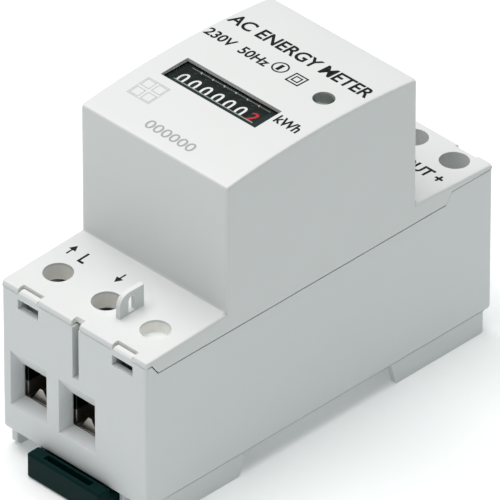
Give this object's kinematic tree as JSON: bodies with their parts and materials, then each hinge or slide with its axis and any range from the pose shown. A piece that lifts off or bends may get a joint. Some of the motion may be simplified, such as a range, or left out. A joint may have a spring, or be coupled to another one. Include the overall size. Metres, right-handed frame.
{
  "type": "electricity meter",
  "caption": "Two-module rail-mounted single-phase energy meter: stepped case with raised counter housing, roller counter, screw clamps and a spring rail clip.",
  "frame": {"origin": "middle of the face that sits on the 35 mm rail, on the rail's centre line", "axes": "+X across the meter, towards the blank terminal; +Y along it, from the line terminals to the far end; +Z away from the rail, towards the counter"},
  "size_m": [0.035, 0.0863, 0.063],
  "materials": {
    "case": "fine spark-eroded moulded polycarbonate, light cool grey",
    "cover": "fine satin moulded polycarbonate, near white",
    "clear": "clear polycarbonate window",
    "smoke": "smoked polycarbonate light pipe",
    "black": "black moulded plastic",
    "red": "red moulded plastic or lacquer",
    "steel": "zinc-plated steel",
    "nickel": "nickel-plated brass or steel",
    "copper": "tin-flashed copper strip",
    "manganin": "resistance alloy strip",
    "winding": "enamelled copper winding",
    "board": "solder-masked glass-epoxy laminate",
    "blue": "blue epoxy dip",
    "yellow": "yellow capacitor box",
    "acetal": "natural acetal"
  },
  "bodies": {
    "case": {"base_housing": "case", "top_cover": "cover", "window_lens": "clear", "light_pipe": "smoke", "register_mask": "black", "register_frame": "acetal", "wheel_shaft": "steel", "pinion_shaft": "steel", "stepper_stator": "steel", "stepper_coil": "winding", "main_board": "board", "busbar_in": "copper", "busbar_out": "copper", "shunt": "manganin", "neutral_strap": "copper", "pulse_contact_1": "copper", "pulse_contact_2": "copper", "sense_wire_1": "red", "sense_wire_2": "red", "film_capacitor": "yellow", "electrolytic_capacitor": "black", "varistor": "blue", "optocoupler": "black", "metering_chip": "black", "crystal": "steel", "status_led": "red", "board_screw_1": "steel", "board_screw_2": "steel", "clip_spring": "steel"},
    "rail_clip": {"rail_clip": "black"},
    "line_in_clamp": {"line_in_clamp": "nickel"},
    "line_in_screw": {"line_in_screw": "steel"},
    "line_out_clamp": {"line_out_clamp": "nickel"},
    "line_out_screw": {"line_out_screw": "steel"},
    "neutral_clamp": {"neutral_clamp": "nickel"},
    "neutral_screw": {"neutral_screw": "steel"},
    "pulse_clamp_1": {"pulse_clamp_1": "nickel"},
    "pulse_screw_1": {"pulse_screw_1": "steel"},
    "pulse_clamp_2": {"pulse_clamp_2": "nickel"},
    "pulse_screw_2": {"pulse_screw_2": "steel"},
    "number_wheel_7": {"number_wheel_7": "red"},
    "number_wheel_6": {"number_wheel_6": "black"},
    "number_wheel_5": {"number_wheel_5": "black"},
    "number_wheel_4": {"number_wheel_4": "black"},
    "number_wheel_3": {"number_wheel_3": "black"},
    "number_wheel_2": {"number_wheel_2": "black"},
    "number_wheel_1": {"number_wheel_1": "black"},
    "transfer_pinion_6": {"transfer_pinion_6": "acetal"},
    "transfer_pinion_5": {"transfer_pinion_5": "acetal"},
    "transfer_pinion_4": {"transfer_pinion_4": "acetal"},
    "transfer_pinion_3": {"transfer_pinion_3": "acetal"},
    "transfer_pinion_2": {"transfer_pinion_2": "acetal"},
    "transfer_pinion_1": {"transfer_pinion_1": "acetal"},
    "idler_gear": {"idler_gear": "acetal"},
    "stepper_rotor": {"stepper_rotor": "steel"}
  },
  "joints": [
    {"name": "rail_clip_slide", "type": "slide", "parent": "case", "child": "rail_clip", "axis": [0, -1, 0], "range_m": [0, 0.0045], "stiffness_N_per_m": 800, "springref_m": -0.004, "deforming": ["clip_spring"]},
    {"name": "line_in_screw_turn", "type": "hinge", "parent": "case", "child": "line_in_screw", "pos_m": [-0.01167, -0.03335, 0.0267], "axis": [0, 0, -1], "range_deg": [0, 1891]},
    {"name": "line_in_clamp_slide", "type": "slide", "parent": "case", "child": "line_in_clamp", "axis": [0, 0, 1], "range_m": [0, 0.0042]},
    {"name": "line_out_screw_turn", "type": "hinge", "parent": "case", "child": "line_out_screw", "pos_m": [0, -0.03335, 0.0267], "axis": [0, 0, -1], "range_deg": [0, 1891]},
    {"name": "line_out_clamp_slide", "type": "slide", "parent": "case", "child": "line_out_clamp", "axis": [0, 0, 1], "range_m": [0, 0.0042]},
    {"name": "neutral_screw_turn", "type": "hinge", "parent": "case", "child": "neutral_screw", "pos_m": [-0.01167, 0.03465, 0.0267], "axis": [0, 0, -1], "range_deg": [0, 1891]},
    {"name": "neutral_clamp_slide", "type": "slide", "parent": "case", "child": "neutral_clamp", "axis": [0, 0, 1], "range_m": [0, 0.0042]},
    {"name": "pulse_screw_1_turn", "type": "hinge", "parent": "case", "child": "pulse_screw_1", "pos_m": [0.0025, 0.03765, 0.0262], "axis": [0, 0, -1], "range_deg": [0, 1801]},
    {"name": "pulse_clamp_1_slide", "type": "slide", "parent": "case", "child": "pulse_clamp_1", "axis": [0, 0, 1], "range_m": [0, 0.0025]},
    {"name": "pulse_screw_2_turn", "type": "hinge", "parent": "case", "child": "pulse_screw_2", "pos_m": [0.0123, 0.03765, 0.0262], "axis": [0, 0, -1], "range_deg": [0, 1801]},
    {"name": "pulse_clamp_2_slide", "type": "slide", "parent": "case", "child": "pulse_clamp_2", "axis": [0, 0, 1], "range_m": [0, 0.0025]},
    {"name": "number_wheel_7_turn", "type": "hinge", "parent": "case", "child": "number_wheel_7", "pos_m": [0.00494, -0.00365, 0.0489], "axis": [1, 0, 0], "continuous": true},
    {"name": "number_wheel_6_turn", "type": "hinge", "parent": "case", "child": "number_wheel_6", "pos_m": [0.0022, -0.00365, 0.0489], "axis": [1, 0, 0], "continuous": true},
    {"name": "number_wheel_5_turn", "type": "hinge", "parent": "case", "child": "number_wheel_5", "pos_m": [-0.00054, -0.00365, 0.0489], "axis": [1, 0, 0], "continuous": true},
    {"name": "number_wheel_4_turn", "type": "hinge", "parent": "case", "child": "number_wheel_4", "pos_m": [-0.00328, -0.00365, 0.0489], "axis": [1, 0, 0], "continuous": true},
    {"name": "number_wheel_3_turn", "type": "hinge", "parent": "case", "child": "number_wheel_3", "pos_m": [-0.00602, -0.00365, 0.0489], "axis": [1, 0, 0], "continuous": true},
    {"name": "number_wheel_2_turn", "type": "hinge", "parent": "case", "child": "number_wheel_2", "pos_m": [-0.00876, -0.00365, 0.0489], "axis": [1, 0, 0], "continuous": true},
    {"name": "number_wheel_1_turn", "type": "hinge", "parent": "case", "child": "number_wheel_1", "pos_m": [-0.0115, -0.00365, 0.0489], "axis": [1, 0, 0], "continuous": true},
    {"name": "transfer_pinion_6_turn", "type": "hinge", "parent": "case", "child": "transfer_pinion_6", "pos_m": [0.00337, 0.00398, 0.04612], "axis": [1, 0, 0], "continuous": true},
    {"name": "transfer_pinion_5_turn", "type": "hinge", "parent": "case", "child": "transfer_pinion_5", "pos_m": [0.00063, 0.00398, 0.04612], "axis": [1, 0, 0], "continuous": true},
    {"name": "transfer_pinion_4_turn", "type": "hinge", "parent": "case", "child": "transfer_pinion_4", "pos_m": [-0.00211, 0.00398, 0.04612], "axis": [1, 0, 0], "continuous": true},
    {"name": "transfer_pinion_3_turn", "type": "hinge", "parent": "case", "child": "transfer_pinion_3", "pos_m": [-0.00485, 0.00398, 0.04612], "axis": [1, 0, 0], "continuous": true},
    {"name": "transfer_pinion_2_turn", "type": "hinge", "parent": "case", "child": "transfer_pinion_2", "pos_m": [-0.00759, 0.00398, 0.04612], "axis": [1, 0, 0], "continuous": true},
    {"name": "transfer_pinion_1_turn", "type": "hinge", "parent": "case", "child": "transfer_pinion_1", "pos_m": [-0.01033, 0.00398, 0.04612], "axis": [1, 0, 0], "continuous": true},
    {"name": "idler_gear_turn", "type": "hinge", "parent": "case", "child": "idler_gear", "pos_m": [0.0063, -0.00365, 0.0425], "axis": [1, 0, 0], "continuous": true},
    {"name": "stepper_rotor_turn", "type": "hinge", "parent": "case", "child": "stepper_rotor", "pos_m": [0.0081, -0.00935, 0.0425], "axis": [1, 0, 0], "continuous": true}
  ],
  "couplings": [
    {"joint": "line_in_screw_turn", "follows": "line_in_clamp_slide", "rad_per_m": 7854},
    {"joint": "line_out_screw_turn", "follows": "line_out_clamp_slide", "rad_per_m": 7854},
    {"joint": "neutral_screw_turn", "follows": "neutral_clamp_slide", "rad_per_m": 7854},
    {"joint": "pulse_screw_1_turn", "follows": "pulse_clamp_1_slide", "rad_per_m": 12566},
    {"joint": "pulse_screw_2_turn", "follows": "pulse_clamp_2_slide", "rad_per_m": 12566},
    {"joint": "number_wheel_6_turn", "follows": "number_wheel_7_turn", "ratio": 0.1},
    {"joint": "number_wheel_5_turn", "follows": "number_wheel_7_turn", "ratio": 0.01},
    {"joint": "number_wheel_4_turn", "follows": "number_wheel_7_turn", "ratio": 0.001},
    {"joint": "number_wheel_3_turn", "follows": "number_wheel_7_turn", "ratio": 0.0001},
    {"joint": "number_wheel_2_turn", "follows": "number_wheel_7_turn", "ratio": 0.00001},
    {"joint": "number_wheel_1_turn", "follows": "number_wheel_7_turn", "ratio": 0.000001},
    {"joint": "transfer_pinion_6_turn", "follows": "number_wheel_7_turn", "ratio": -0.25},
    {"joint": "transfer_pinion_5_turn", "follows": "number_wheel_7_turn", "ratio": -0.025},
    {"joint": "transfer_pinion_4_turn", "follows": "number_wheel_7_turn", "ratio": -0.0025},
    {"joint": "transfer_pinion_3_turn", "follows": "number_wheel_7_turn", "ratio": -0.00025},
    {"joint": "transfer_pinion_2_turn", "follows": "number_wheel_7_turn", "ratio": -0.000025},
    {"joint": "transfer_pinion_1_turn", "follows": "number_wheel_7_turn", "ratio": -0.0000025},
    {"joint": "idler_gear_turn", "follows": "number_wheel_7_turn", "ratio": -3},
    {"joint": "stepper_rotor_turn", "follows": "number_wheel_7_turn", "ratio": 11.25}
  ]
}
